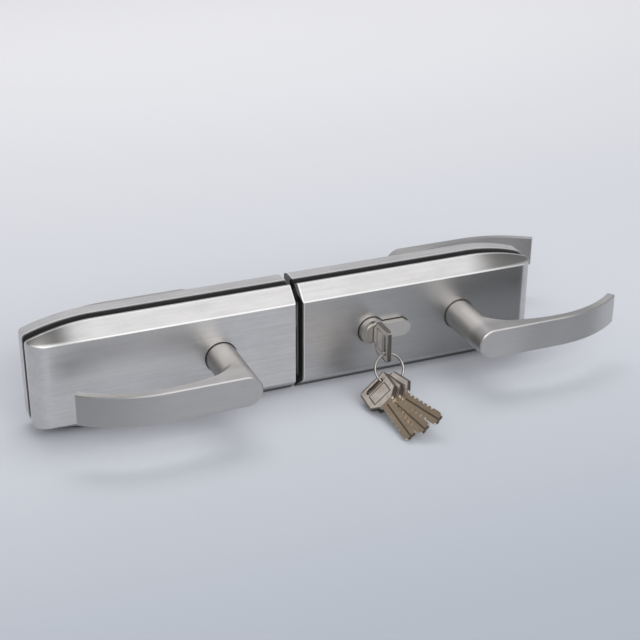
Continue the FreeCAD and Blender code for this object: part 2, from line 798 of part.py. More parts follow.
def flat_key():
    half_t = bow_thickness / 2
    bow = Part.Face(bow_outline()).extrude(V(0, 0, bow_thickness))
    bow.translate(V(0, 0, -half_t))
    half_w = blade_width / 2
    half_blade = blade_thickness / 2
    tip = blade_tip_bevel
    blade_points = [V(-blade_root, -half_w, -half_blade), V(blade_length - tip, -half_w, -half_blade),
                    V(blade_length, -half_w + tip, -half_blade), V(blade_length, half_w - tip, -half_blade),
                    V(blade_length - tip, half_w, -half_blade), V(-blade_root, half_w, -half_blade)]
    blade = Part.Face(Part.makePolygon(blade_points + blade_points[:1])).extrude(V(0, 0, blade_thickness))
    cuts = [round_slot(bow_slot_length, bow_slot_width, -bow_length + bow_slot_offset, bow_thickness)]
    for edge in (-1, 1):
        for i in range(notch_count):
            x = notch_start + i * notch_pitch
            mouth = edge * (half_w + notch_past)
            floor = edge * (half_w - notch_depth)
            corners = [(x - notch_mouth_half, mouth), (x + notch_mouth_half, mouth),
                       (x + notch_floor_half, floor), (x - notch_floor_half, floor)]
            notch = flat([V(*corner, -blade_thickness) for corner in corners])
            cuts.append(notch.extrude(V(0, 0, 2 * blade_thickness)))
    for face in (-1, 1):
        z = face * half_blade
        cuts.append(box(groove_start, blade_length + REACH_PAST, -groove_width / 2, groove_width / 2, z,
                        z - face * groove_depth))
        panel_x = -bow_shoulder + bow_panel_gap
        surface = face * half_t
        outer = box(panel_x - bow_panel_length, panel_x, -bow_panel_width / 2, bow_panel_width / 2, surface,
                    surface - face * panel_groove_depth)
        inner = box(panel_x - bow_panel_length + panel_groove_width, panel_x - panel_groove_width,
                    -bow_panel_width / 2 + panel_groove_width, bow_panel_width / 2 - panel_groove_width,
                    surface, surface - face * panel_groove_depth)
        cuts.append(outer.cut(inner))
    return bow.fuse(blade).cut(cuts).removeSplitter()


def inserted_key():
    """The key in the plug: blade along +Y, flat on edge, so that the bow stands up and down."""
    key = flat_key()
    key.rotate(ORIGIN, Z_AXIS, 90)
    key.rotate(ORIGIN, Y_AXIS, 90)
    key.translate(V(cylinder_x, -bow_start_y, axis_z))
    return key


def ring_top():
    """Middle of the ring's wire where it hangs in the slot of the inserted key."""
    slot_low = axis_z - bow_slot_length / 2
    slot_y = -bow_start_y - bow_length + bow_slot_offset
    return V(cylinder_x, slot_y, slot_low + ring_wire_radius + ring_clearance)


def ring_down():
    """Direction from the top of the leaning ring to its lowest point."""
    tilt = math.radians(ring_tilt_deg)
    return V(0, -math.sin(tilt), -math.cos(tilt))


def key_ring():
    down = ring_down()
    return Part.makeTorus(ring_radius, ring_wire_radius, ring_top() + down * ring_radius, X_AXIS.cross(down))


def spare_key_turning():
    """Roll and pitch that all spare keys share."""
    pitch = FreeCAD.Rotation(X_AXIS, spare_key_pitch_deg)
    return pitch.multiply(FreeCAD.Rotation(Y_AXIS, -spare_key_roll_deg))


def spare_key_point(index):
    """Point of the ring's wire where it passes through the plane of a spare key."""
    down = ring_down()
    normal = spare_key_turning().multVec(Z_AXIS)
    reach = ring_radius * math.hypot(normal.x, down.dot(normal))
    farthest = math.atan2(normal.x, down.dot(normal))
    first = math.cos(math.radians(first_key_turn_deg) - farthest)
    turn = farthest + math.acos(first - index * spare_key_spacing / reach)
    middle = ring_top() + down * ring_radius
    return middle + (X_AXIS * math.sin(turn) + down * math.cos(turn)) * ring_radius


def spare_key(index):
    """A spare key stands on its lower edge and tip and hangs on the ring, fanned out."""
    key = flat_key()
    key.translate(V(bow_length - bow_slot_offset, -spare_key_places[index], 0))
    key.rotate(ORIGIN, Z_AXIS, -90 + spare_key_fans_deg[index])
    key.Placement = FreeCAD.Placement(spare_key_point(index), spare_key_turning()).multiply(key.Placement)
    return key


# Latch, deadbolt and springs

def coil(radius, wire_radius, length, turns):
    """Open coil along Z from 0 to the length given, its wire drawn with straight stretches and flat sides."""
    rise = length - 2 * wire_radius
    count = coil_steps * turns

    def ring(step):
        turn = 2 * math.pi * step / coil_steps
        points = []
        for side in range(coil_sides):
            angle = 2 * math.pi * (side + 0.5) / coil_sides
            out = radius + wire_radius * math.cos(angle)
            points.append(V(out * math.cos(turn), out * math.sin(turn),
                            wire_radius + rise * step / count + wire_radius * math.sin(angle)))
        return points

    rings = [ring(step) for step in range(count + 1)]
    faces = [flat(rings[0]), flat(rings[-1])]
    for near, far in zip(rings, rings[1:]):
        for side in range(coil_sides):
            after = (side + 1) % coil_sides
            faces.append(flat([near[side], near[after], far[after]]))
            faces.append(flat([near[side], far[after], far[side]]))
    return Part.Solid(Part.Shell(faces))


def flat(points):
    return Part.Face(Part.makePolygon(points + points[:1]))


def latch_bolt():
    """Sprung latch: bevelled head, bar past the cylinder and a leg that the lever's hub pushes."""
    top = latch_low + latch_height
    nose_x = -latch_reach
    half = latch_half_depth
    outline = [V(nose_x, half, latch_low), V(nose_x, half - latch_nose_flat, latch_low),
               V(near_x - latch_slant_end, -half, latch_low), V(latch_back_x, -half, latch_low),
               V(latch_back_x, half, latch_low)]
    head = Part.Face(Part.makePolygon(outline + outline[:1])).extrude(V(0, 0, latch_height))
    leg_x = right_lever_x + hub_arm_tip_radius + arm_gap
    bar_top = latch_bar_low + latch_bar_height
    bar = box(latch_back_x - latch_bar_root, leg_x + latch_leg_thickness, latch_bar_front, latch_bar_back,
              latch_bar_low, min(bar_top, top))
    ledge = box(latch_back_x - latch_ledge_length, latch_back_x, latch_bar_front, -half + latch_ledge_inset,
                latch_bar_low, bar_top)
    leg = box(leg_x, leg_x + latch_leg_thickness, latch_bar_front, hub_arm_half_depth,
              axis_z + hub_radius + latch_leg_gap, bar_top)
    spring_bore = Part.makeCylinder(latch_spring_bore, latch_back_x + REACH_PAST - latch_spring_bore_end,
                                    V(latch_spring_bore_end, 0, latch_spring_z), X_AXIS)
    return join([head, ledge, bar, leg]).cut(spring_bore)


def latch_spring():
    length = spring_wall_x - latch_spring_front_x
    spring = coil(latch_spring_radius, latch_spring_wire / 2, length, latch_spring_turns)
    spring.rotate(ORIGIN, Y_AXIS, 90)
    spring.translate(V(latch_spring_front_x, 0, latch_spring_z))
    return spring


def deadbolt():
    """Square bolt, drawn back, with a bar below the cylinder's cam."""
    half = deadbolt_half_depth
    bar_half = half - deadbolt_bar_inset
    bar_start_x = deadbolt_back_x - deadbolt_neck_length
    head = box(near_x + deadbolt_front_gap, deadbolt_back_x, -half, half, deadbolt_low,
               deadbolt_low + deadbolt_height)
    bar_top = deadbolt_bar_low + deadbolt_bar_height
    bar = box(bar_start_x, deadbolt_bar_end, -bar_half, bar_half, deadbolt_bar_low, bar_top)
    neck = box(bar_start_x, deadbolt_back_x, -bar_half, bar_half, deadbolt_bar_low,
               deadbolt_low + deadbolt_neck_root)
    return join([head, bar, neck])


# Levers and what turns with them

def square_bar(width, y0, y1, x):
    half = width / 2
    return box(x - half, x + half, y0, y1, axis_z - half, axis_z + half)


def spindle(lever_x, hand):
    end = lever_front - spindle_end_short
    return square_bar(spindle_width, -end, end + shift_of(hand, BACK), lever_x)


def hub(lever_x, with_arm):
    """Square-holed hub on journals in both case walls; the lock's hub has an arm for the latch."""
    end = case_half_depth - hub_side_gap
    parts = [rod_y(hub_journal_radius, -end, end, lever_x, axis_z),
             rod_y(hub_radius, hub_front, hub_back, lever_x, axis_z)]
    if with_arm:
        tip_z = axis_z + hub_arm_radius
        half = hub_arm_half_depth - hub_arm_side_gap
        parts.append(box(lever_x - hub_arm_tip_radius, lever_x + hub_arm_tip_radius, -half, half, axis_z,
                         tip_z))
        parts.append(rod_y(hub_arm_tip_radius, -half, half, lever_x, tip_z))
    hole = square_bar(spindle_width + 2 * spindle_clearance, -end - REACH_PAST, end + REACH_PAST, lever_x)
    return join(parts).cut(hole)


def hub_spring(lever_x):
    """Return spring around the hub's front journal."""
    length = hub_front + case_half_depth - case_wall - hub_spring_gap
    spring = coil(hub_spring_radius, hub_spring_wire / 2, length, hub_spring_turns)
    spring.rotate(ORIGIN, X_AXIS, -90)
    spring.translate(V(lever_x, -case_half_depth + case_wall, axis_z))
    return spring


def back_curve(z):
    """Plan line of the grip's back, from the neck's side to where the grip starts to bend.

    The lever is drawn with its flat front at Y 0 and its neck towards +Y.
    """
    back_y = grip_thickness
    taper = math.radians(grip_taper_deg)
    fillet_x = neck_radius + neck_fillet
    taper_run = grip_straight - (fillet_x - neck_fillet * math.sin(taper))
    taper_radius = taper_run / math.sin(taper)
    fillet_y = back_y + taper_radius * (1 - math.cos(taper)) + neck_fillet * math.cos(taper)

    def on_fillet(turn):
        return V(fillet_x - neck_fillet * math.sin(turn), fillet_y - neck_fillet * math.cos(turn), z)

    def on_taper(turn):
        return V(grip_straight - taper_radius * math.sin(turn),
                 back_y + taper_radius * (1 - math.cos(turn)), z)

    edges = [arc(on_fillet(math.pi / 2), on_fillet((taper + math.pi / 2) / 2), on_fillet(taper)),
             arc(on_taper(taper), on_taper(taper / 2), on_taper(0))]
    return edges, on_fillet(math.pi / 2), on_taper(0)


def grip_plan(z):
    """Plan outline of the grip, from the spindle axis to the free end, for a lever to the right."""
    bend_centre = V(grip_straight, grip_bend_radius, z)
    outer_turn = math.asin((grip_reach - grip_straight) / grip_bend_radius)
    inner_radius = grip_bend_radius - grip_thickness

    def on_bend(radius, turn):
        return V(bend_centre.x + radius * math.sin(turn), bend_centre.y - radius * math.cos(turn), z)

    edges, neck_side, bend_start = back_curve(z)
    neck_middle = V(0, neck_side.y, z)
    corner = V(0, 0, z)
    front_bend = on_bend(grip_bend_radius, 0)
    front_end = on_bend(grip_bend_radius, outer_turn)
    back_end = on_bend(inner_radius, outer_turn)
    edges += [arc(bend_start, on_bend(inner_radius, outer_turn / 2), back_end),
              line(back_end, front_end),
              arc(front_end, on_bend(grip_bend_radius, outer_turn / 2), front_bend),
              line(front_bend, corner),
              line(corner, neck_middle),
              line(neck_middle, neck_side)]
    return Part.Wire(edges)


def flare():
    """Round body that widens from the neck towards the grip, along the grip's own back line."""
    edges, neck_side, bend_start = back_curve(0)
    front = -REACH_PAST
    wide = 2 * grip_reach
    deep = grip_bend_radius
    edges += [line(bend_start, V(bend_start.x, deep, 0)),
              line(V(bend_start.x, deep, 0), V(wide, deep, 0)),
              line(V(wide, deep, 0), V(wide, front, 0)),
              line(V(wide, front, 0), V(0, front, 0)),
              line(V(0, front, 0), V(0, neck_side.y, 0)),
              line(V(0, neck_side.y, 0), neck_side)]
    return Part.Face(Part.Wire(edges)).revolve(ORIGIN, Y_AXIS, 360)


def lever(lever_x, hand, side):
    """Round neck that flares into a flat, bent grip."""
    front = lever_front + shift_of(hand, side)
    set_y = lever_front - set_screw_y
    neck_length = front - neck_end_y
    grip = Part.Face(grip_plan(-grip_height / 2)).extrude(V(0, 0, grip_height)).common(flare())
    neck = Part.makeCylinder(neck_radius, neck_length, ORIGIN, Y_AXIS)
    body = bevel_front_edges(neck.fuse(grip).removeSplitter())
    half = spindle_width / 2 + spindle_clearance
    hole = box(-half, half, spindle_end_short - spindle_room, neck_length + REACH_PAST, -half, half)
    screw_hole = rod_z(set_screw_radius + thread_clearance, -neck_radius - REACH_PAST, 0, 0, set_y)
    body = to_hand(body.cut([hole, screw_hole]), hand)
    body.translate(V(lever_x, -front, axis_z))
    return to_side(body, side)


def bevel_front_edges(body):
    """Small bevel around the front face and the free end's front edge."""
    edges = [edge for edge in body.Edges
             if is_front_point(edge.valueAt((edge.FirstParameter + edge.LastParameter) / 2))]
    return body.makeChamfer(grip_edge_bevel, edges)


def is_front_point(point):
    """Whether a point lies on the flat front or on the outside of the bend."""
    if point.x <= grip_straight:
        return abs(point.y) < 0.01
    run = point.x - grip_straight
    return abs(point.y - grip_bend_radius + math.sqrt(grip_bend_radius ** 2 - run ** 2)) < 0.01


def bush(lever_x, side):
    """Plastic bush between the cover's hole and the lever's neck, with a flange behind the cover."""
    flange_y = inner_face_y
    end_y = -flange_y + bush_flange_thickness
    outer = rod_y(bush_outer_radius, -face_y + bush_set_back, end_y, lever_x, axis_z)
    flange = rod_y(bush_flange_radius, -flange_y, end_y, lever_x, axis_z)
    bore = rod_y(bush_inner_radius, -face_y - REACH_PAST, 0, lever_x, axis_z)
    return to_side(outer.fuse(flange).removeSplitter().cut(bore), side)


def set_screw(lever_x, hand, side):
    """Socket screw in the underside of the neck, down on the spindle."""
    y = -set_screw_y - shift_of(hand, side)
    top = axis_z - spindle_width / 2
    low = axis_z - neck_radius + set_screw_sunk
    screw = rod_z(set_screw_radius, low, top, lever_x, y)
    radius = set_screw_across / math.sqrt(3)
    corners = [V(lever_x + radius * math.cos(math.radians(60 * i)),
                 y + radius * math.sin(math.radians(60 * i)), low - REACH_PAST) for i in range(6)]
    socket = flat(corners).extrude(V(0, 0, REACH_PAST + set_screw_socket_depth))
    return to_side(screw.cut(socket), side)


def cover_screws(hand, side):
    end_y = inner_face_y - cover_screw_short
    return group([small_screw(x, z, side, end_y) for x, z in boss_points_of(hand)])


def case_screws(hand):
    end_y = plate_y + ear_thickness + case_screw_past
    return group([small_screw(x, z, FRONT, end_y) for x, z in ear_screw_points(hand)])


def clamp_bolts(hand):
    return group([clamp_bolt(x, z) for x, z in clamp_points_of(hand)])


def all_pieces():
    pieces = {}
    for name, hand in (("right", RIGHT), ("left", LEFT)):
        lever_x = lever_x_of(hand)
        for place, side in (("front", FRONT), ("back", BACK)):
            key = name + "_" + place
            pieces[key + "_cover"] = cover(hand, side)
            pieces[key + "_gasket"] = gasket(hand, side)
            pieces[key + "_cover_screws"] = cover_screws(hand, side)
            pieces[key + "_lever"] = lever(lever_x, hand, side)
            pieces[key + "_bush"] = bush(lever_x, side)
            pieces[key + "_set_screw"] = set_screw(lever_x, hand, side)
        pieces[name + "_front_plate"] = front_plate(hand)
        pieces[name + "_back_plate"] = back_plate(hand)
        pieces[name + "_clamp_bolts"] = clamp_bolts(hand)
        pieces[name + "_spindle"] = spindle(lever_x, hand)
    pieces["lock_case"] = lock_case()
    pieces["lock_case_lid"] = lock_case_lid()
    pieces["lock_forend"] = forend(RIGHT)
    pieces["lock_case_screws"] = case_screws(RIGHT)
    pieces["strike_case"] = strike_case()
    pieces["strike_case_lid"] = strike_case_lid()
    pieces["strike_forend"] = forend(LEFT)
    pieces["strike_case_screws"] = case_screws(LEFT)
    pieces["euro_cylinder"] = euro_cylinder()
    pieces["cylinder_fixing_screw"] = fixing_screw()
    pieces["front_plug"] = plug(FRONT)
    pieces["back_plug"] = plug(BACK)
    pieces["cylinder_cam"] = cylinder_cam()
    pieces["door_key"] = inserted_key()
    pieces["key_ring"] = key_ring()
    for index in range(len(spare_key_places)):
        pieces["spare_key_" + str(index + 1)] = spare_key(index)
    pieces["latch_bolt"] = latch_bolt()
    pieces["latch_spring"] = latch_spring()
    pieces["deadbolt"] = deadbolt()
    pieces["lock_hub"] = hub(right_lever_x, True)
    pieces["lock_hub_spring"] = hub_spring(right_lever_x)
    pieces["strike_hub"] = hub(left_lever_x, False)
    pieces["strike_hub_spring"] = hub_spring(left_lever_x)
    return pieces


def main():
    os.makedirs("parts", exist_ok=True)
    for name, shape in all_pieces().items():
        shape.exportStep("parts/" + name + ".step")
        bounds = shape.BoundBox
        print(f"{name:26s} solids {len(shape.Solids)} valid {shape.isValid()} volume {shape.Volume:9.1f}  "
              f"X {bounds.XMin:7.1f} {bounds.XMax:7.1f}  Y {bounds.YMin:6.1f} {bounds.YMax:6.1f}  "
              f"Z {bounds.ZMin:6.1f} {bounds.ZMax:6.1f}")


main()
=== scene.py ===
import json
import math

import bpy
from mathutils import Matrix, Vector

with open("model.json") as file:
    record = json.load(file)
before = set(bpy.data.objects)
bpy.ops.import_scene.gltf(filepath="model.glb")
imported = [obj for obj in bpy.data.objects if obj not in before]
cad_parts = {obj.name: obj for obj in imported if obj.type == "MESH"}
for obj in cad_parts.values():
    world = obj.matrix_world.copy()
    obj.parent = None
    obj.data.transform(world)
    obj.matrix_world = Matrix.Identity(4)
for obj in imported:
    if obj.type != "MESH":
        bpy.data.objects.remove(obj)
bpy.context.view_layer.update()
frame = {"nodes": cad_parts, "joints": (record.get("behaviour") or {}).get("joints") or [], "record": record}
nodes = frame["nodes"]
joint_places = {joint["name"]: Vector(joint["pos_m"]) for joint in frame["joints"] if "pos_m" in joint}

MM = 0.001

# The camera, worked out from the photograph: turns in degrees, focal length in pixels of the photograph
CAMERA_PLACE = Vector((-278.46, -714.45, 419.38)) * MM
CAMERA_YAW = 22.67
CAMERA_PITCH = 26.11
CAMERA_ROLL = 0.28
FOCAL_PIXELS = 1404.26
PHOTO_PIXELS = 640
SENSOR_WIDTH = 36.0
CLIP_START = 0.01
CLIP_END = 20.0

# Places that the finishes follow are in metres: X from the meeting line to the right, Y from the glass
# plane to the back, Z from the foot up. A stretch is the pair of places between which a tone changes.
RIGHT_LEVER_X = joint_places["right_lever_turn"].x
LEFT_LEVER_X = joint_places["left_lever_turn"].x
PLUG_AXIS = joint_places["plug_turn"]

# Covers: worn edges that also carry a painted highlight, each with how far its wear and highlight reach
CREASE_HIGH = 60.7 * MM
CREASE_LOW = 8.3 * MM
HIGH_CREASE_WEAR_AND_HIGHLIGHT = (CREASE_HIGH, 0.7 * MM)
LOW_CREASE_WEAR_AND_HIGHLIGHT = (CREASE_LOW, 0.6 * MM)
RIM_WEAR_AND_HIGHLIGHT = (4.85 * MM, 0.6 * MM)
RIGHT_MEETING_WEAR_AND_HIGHLIGHT = (3.7 * MM, 0.7 * MM)
LEFT_MEETING_WEAR_AND_HIGHLIGHT = (-1.6 * MM, 0.5 * MM)

# Covers: stretches. The left slant's one is measured to the left, the meeting line's one to either side
# of its middle, and the pale patch has a middle and a half length. The darkness is a share.
FACE_DEPTH = 14.15 * MM
CREASE_DEPTHS = (FACE_DEPTH - 1.2 * MM, FACE_DEPTH - 0.4 * MM)
FACE_DEPTHS = (FACE_DEPTH - 0.7 * MM, FACE_DEPTH - 0.2 * MM)
FRONT_TO_BACK = (-2.0 * MM, 0.0)
LEFT_TO_RIGHT_HALF = (0.0, 1.0 * MM)
RIGHT_FACE_LENGTH = (0.0, 150 * MM)
RIGHT_FACE_DARKNESS = (0.36, 0.92)
PALE_PATCH_X = (-100 * MM, 70 * MM)
PALE_PATCH_RISE = (25 * MM, 50 * MM)
SLANT_START = (CREASE_HIGH, CREASE_HIGH + 1.0 * MM)
LEFT_SLANT_END = (132 * MM, 146 * MM)
RIGHT_SLANT_END = (112 * MM, 138 * MM)
MEETING_MIDDLE = 1.4 * MM
MEETING_SHADE = (1.6 * MM, 1.9 * MM)
FOOT_SHADE = (3.4 * MM, 5.0 * MM)

# Levers: stretches, of which the left tip's one is measured to the left and the neck's one from the
# lever's axis, and the painted highlight on the free end of the left front grip
LEFT_TIP = (85 * MM, 135 * MM)
RIGHT_GRIP_START = (115 * MM, 140 * MM)
RIGHT_GRIP_END = (172 * MM, 190 * MM)
RIGHT_TIP = (182 * MM, 196 * MM)
NECK_FOOT = (-12 * MM, -10 * MM)
NECK_TO_GRIP = (-52 * MM, -44 * MM)
NECK_SIDE = (10 * MM, 14 * MM)
FREE_END_HIGHLIGHT = (-144 * MM, 0.7 * MM)
FREE_END_DEPTHS = (-44 * MM, -43 * MM)

# Keys: lengths from the shoulder, widths from the middle line, heights from the middle plane
KEY_SHOULDER_Y = -20.4 * MM
RING_TO_SHOULDER = 16.1 * MM
RECESS_HEIGHTS = (0.93 * MM, 1.03 * MM)
BLADE_START = (-1.0 * MM, 0.0)
CUT_WIDTHS = (2.5 * MM, 2.8 * MM)
BOW_SIDE = (9.5 * MM, 9.8 * MM)
BOW_SHOULDER_SLOPE = 1.18
BOW_SHOULDER = (3.4 * MM, 3.7 * MM)
BOW_END = (-19.8 * MM, -19.5 * MM)

# Spare keys: their common lean in degrees, and for each its joint on the ring, how far the ring stands
# along its slot in metres, and its fan in degrees
SPARE_PITCH = 9.4
SPARE_ROLL = 44.5
SPARE_KEYS = {
    "spare_key_1": ("spare_key_a_swing", 5.2 * MM, 1.0),
    "spare_key_2": ("spare_key_b_swing", 4.9 * MM, 9.5),
    "spare_key_3": ("spare_key_c_swing", 3.1 * MM, 16.0),
}

# A Mix node has several sockets of each name, so its colours are reached by number
FIRST_COLOUR = 6
SECOND_COLOUR = 7
MIXED_COLOUR = 2


# Node trees written as sums

class Wire:
    """A socket that can be used in Python sums, each of which adds a Math node."""

    def __init__(self, finish, socket):
        self.finish = finish
        self.socket = socket

    def _math(self, operation, first, second=None):
        values = {0: first}
        if second is not None:
            values[1] = second
        return self.finish.node("ShaderNodeMath", {"operation": operation}, values)

    def __add__(self, other):
        return self._math("ADD", self, other)

    def __radd__(self, other):
        return self._math("ADD", other, self)

    def __sub__(self, other):
        return self._math("SUBTRACT", self, other)

    def __rsub__(self, other):
        return self._math("SUBTRACT", other, self)

    def __mul__(self, other):
        return self._math("MULTIPLY", self, other)

    def __rmul__(self, other):
        return self._math("MULTIPLY", other, self)

    def __abs__(self):
        return self._math("ABSOLUTE", self)

    def most(self, other):
        return self._math("MAXIMUM", self, other)

    def ramp(self, low, high, out_low=0.0, out_high=1.0):
        """Smooth step from out_low at low to out_high at high."""
        settings = {"interpolation_type": "SMOOTHSTEP", "clamp": True}
        values = {"Value": self, "From Min": low, "From Max": high, "To Min": out_low, "To Max": out_high}
        return self.finish.node("ShaderNodeMapRange", settings, values)

    def fade(self, low, high):
        """Smooth step down from 1 at low to 0 at high."""
        return self.ramp(low, high, 1.0, 0.0)

    def near(self, place, reach):
        """1 at a place, falling to 0 at a distance of the reach."""
        return abs(self - place).fade(0.0, reach)


class Finish:
    """A material whose node tree is built by calls."""

    def __init__(self, name):
        self.material = bpy.data.materials.new(name)
        self.material.use_nodes = True
        self.tree = self.material.node_tree
        self.tree.nodes.clear()
        self.place = self.node("ShaderNodeTexCoord", output="Object")

    def node(self, kind, settings=None, values=None, output=0):
        """Adds a node of any kind and gives one of its outputs, where it has any."""
        made = self.tree.nodes.new(kind)
        for key, value in (settings or {}).items():
            setattr(made, key, value)
        for key, value in (values or {}).items():
            if isinstance(value, Wire):
                self.tree.links.new(value.socket, made.inputs[key])
            else:
                made.inputs[key].default_value = value
        return Wire(self, made.outputs[output]) if made.outputs else None

    def axes(self):
        """X, Y and Z of the place on the object, in metres."""
        parts = self.node("ShaderNodeSeparateXYZ", values={0: self.place}).socket.node
        return [Wire(self, parts.outputs[axis]) for axis in "XYZ"]

    def noise(self, cells, detail=2.0, roughness=0.5):
        """Noise with so many cells to a metre, given for each axis or as one number for all three."""
        scale = cells if isinstance(cells, tuple) else (cells, cells, cells)
        stretched = self.node("ShaderNodeMapping", values={"Vector": self.place, "Scale": scale})
        values = {"Vector": stretched, "Scale": 1.0, "Detail": detail, "Roughness": roughness}
        return self.node("ShaderNodeTexNoise", values=values, output="Fac")

    def blend(self, share, first, second):
        """Two colours mixed: the first at share 0, the second at share 1."""
        values = {"Factor": share, FIRST_COLOUR: opaque(first), SECOND_COLOUR: opaque(second)}
        return self.node("ShaderNodeMix", {"data_type": "RGBA"}, values, output=MIXED_COLOUR)

    def bump(self, height, depth, strength):
        """Relief whose heights from 0 to 1 make up a depth in metres."""
        return self.node("ShaderNodeBump", values={"Height": height, "Distance": depth, "Strength": strength})

    def surface(self, colour, roughness, metallic, normal=None, **fixed):
        """Ends the tree in a Principled shader."""
        values = {"Base Color": opaque(colour), "Roughness": roughness, "Metallic": metallic, **fixed}
        if normal is not None:
            values["Normal"] = normal
        shader = self.node("ShaderNodeBsdfPrincipled", values=values)
        self.node("ShaderNodeOutputMaterial", values={"Surface": shader})
        return self.material


def opaque(colour):
    """A typed colour with its alpha, and a link as it is."""
    return (*colour, 1.0) if isinstance(colour, tuple) else colour


# Finishes

def brushing_along_x(finish, line_width, line_length):
    """Two layers of brushed lines, fine and broad, each a noise drawn out along X."""
    fine = finish.noise((1 / line_length, 1 / line_width, 1 / line_width), detail=3.0)
    broad = finish.noise((1 / (3 * line_length), 1 / (5 * line_width), 1 / (5 * line_width)))
    return fine, broad


def brushed_colour(finish, fine, broad, clouds, dull_steel, bright_steel):
    tone = 0.4 * fine + 0.2 * broad + 0.4 * clouds
    return finish.blend(tone.ramp(0.30, 0.70), dull_steel, bright_steel)


def satin_cover_finish():
    """Brushed steel with pale wear and a painted highlight on its edges.

    The tones that follow a place, such as the darker right half, the pale patch on the left and the dark
    slant ends, foot and meeting line, repeat what the steel reflects in the photograph. They stay where
    they are in any other light.
    """
    dull_steel, bright_steel, worn_and_highlit_steel = (0.53, 0.52, 0.515), (0.67, 0.66, 0.655), (0.92, 0.91, 0.90)
    dark_reflection, pale_reflection = (0.20, 0.20, 0.20), (0.80, 0.79, 0.785)
    slant_shade, shadow = (0.19, 0.185, 0.18), (0.03, 0.03, 0.03)
    finish = Finish("brushed_steel_of_covers")
    x, y, z = finish.axes()
    depth = abs(y)
    front_side = y.fade(*FRONT_TO_BACK)
    face = depth.ramp(*FACE_DEPTHS)

    fine, broad = brushing_along_x(finish, 0.35 * MM, 30 * MM)
    clouds = finish.noise((45.0, 110.0, 110.0), detail=5.0, roughness=0.7)
    scratches = finish.noise((60.0, 2500.0, 2500.0), detail=1.0).ramp(0.72, 0.80)
    steel = brushed_colour(finish, fine, broad, clouds, dull_steel, bright_steel)

    right_face = face * x.ramp(*LEFT_TO_RIGHT_HALF)
    darkness = x.ramp(*RIGHT_FACE_LENGTH, *RIGHT_FACE_DARKNESS)
    steel = finish.blend(right_face * darkness, steel, dark_reflection)
    pale_patch = face * x.near(*PALE_PATCH_X) * z.ramp(*PALE_PATCH_RISE) * front_side
    steel = finish.blend(pale_patch * 0.6, steel, pale_reflection)
    slant = z.ramp(*SLANT_START) * front_side
    slant_ends = (-1.0 * x).ramp(*LEFT_SLANT_END).most(x.ramp(*RIGHT_SLANT_END))
    steel = finish.blend(slant * slant_ends * 0.92, steel, slant_shade)

    # Pale wear on the creases, rim and meeting edges, which is also a painted highlight along these edges
    crease = z.near(*HIGH_CREASE_WEAR_AND_HIGHLIGHT).most(z.near(*LOW_CREASE_WEAR_AND_HIGHLIGHT))
    crease = crease * front_side * depth.ramp(*CREASE_DEPTHS)
    meeting_edges = x.near(*RIGHT_MEETING_WEAR_AND_HIGHLIGHT).most(x.near(*LEFT_MEETING_WEAR_AND_HIGHLIGHT))
    wear_and_highlight = crease.most(depth.near(*RIM_WEAR_AND_HIGHLIGHT)).most(meeting_edges)
    steel = finish.blend(wear_and_highlight * 0.8, steel, worn_and_highlit_steel)
    meeting_shade = abs(x - MEETING_MIDDLE).fade(*MEETING_SHADE)
    foot_shade = z.fade(*FOOT_SHADE) * front_side
    steel = finish.blend(meeting_shade.most(foot_shade) * 0.9, steel, shadow)

    roughness = 0.32 + 0.05 * broad + 0.08 * clouds + 0.03 * scratches - 0.08 * wear_and_highlight
    relief = 0.3 * fine + 0.3 * broad - 0.3 * scratches
    return finish.surface(steel, roughness, 1.0, finish.bump(relief, 0.02 * MM, 0.4))


def satin_lever_finish():
    """Brushed steel, with tones on grips and necks that repeat what it reflects in the photograph."""
    dull_steel, bright_steel = (0.44, 0.425, 0.415), (0.51, 0.495, 0.485)
    grip_shade, tip_light, free_end_light = (0.31, 0.305, 0.30), (0.62, 0.61, 0.60), (0.98, 0.97, 0.96)
    neck_light, neck_shade = (0.74, 0.71, 0.68), (0.30, 0.285, 0.27)
    finish = Finish("brushed_steel_of_levers")
    x, y, _ = finish.axes()
    fine, broad = brushing_along_x(finish, 0.3 * MM, 20 * MM)
    clouds = finish.noise(35.0, detail=3.0, roughness=0.6)
    steel = brushed_colour(finish, fine, broad, clouds, dull_steel, bright_steel)

    right_grip = x.ramp(*RIGHT_GRIP_START) * x.fade(*RIGHT_GRIP_END)
    dark_grips = (-1.0 * x).ramp(*LEFT_TIP).most(right_grip)
    steel = finish.blend(dark_grips * 0.55, steel, grip_shade)
    steel = finish.blend(x.ramp(*RIGHT_TIP) * 0.5, steel, tip_light)
    front_neck = y.fade(*NECK_FOOT) * y.ramp(*NECK_TO_GRIP)
    right_neck = front_neck * abs(x - RIGHT_LEVER_X).fade(*NECK_SIDE)
    left_neck = front_neck * abs(x - LEFT_LEVER_X).fade(*NECK_SIDE)
    steel = finish.blend(right_neck * 0.7, steel, neck_light)
    steel = finish.blend(left_neck * 0.6, steel, neck_shade)
    # Painted highlight on the free end of the left front grip
    steel = finish.blend(x.near(*FREE_END_HIGHLIGHT) * y.fade(*FREE_END_DEPTHS), steel, free_end_light)

    roughness = 0.25 + 0.06 * broad + 0.08 * clouds
    relief = 0.4 * fine + 0.3 * broad
    return finish.surface(steel, roughness, 1.0, finish.bump(relief, 0.02 * MM, 0.4))


def forend_finish():
    """Steel brushed upright, along the forends."""
    finish = Finish("brushed_steel_of_forends")
    lines = finish.noise((3000.0, 3000.0, 40.0))
    steel = finish.blend(lines, (0.48, 0.48, 0.47), (0.60, 0.60, 0.59))
    return finish.surface(steel, 0.30 + 0.12 * lines, 1.0, finish.bump(lines, 0.03 * MM, 0.5))


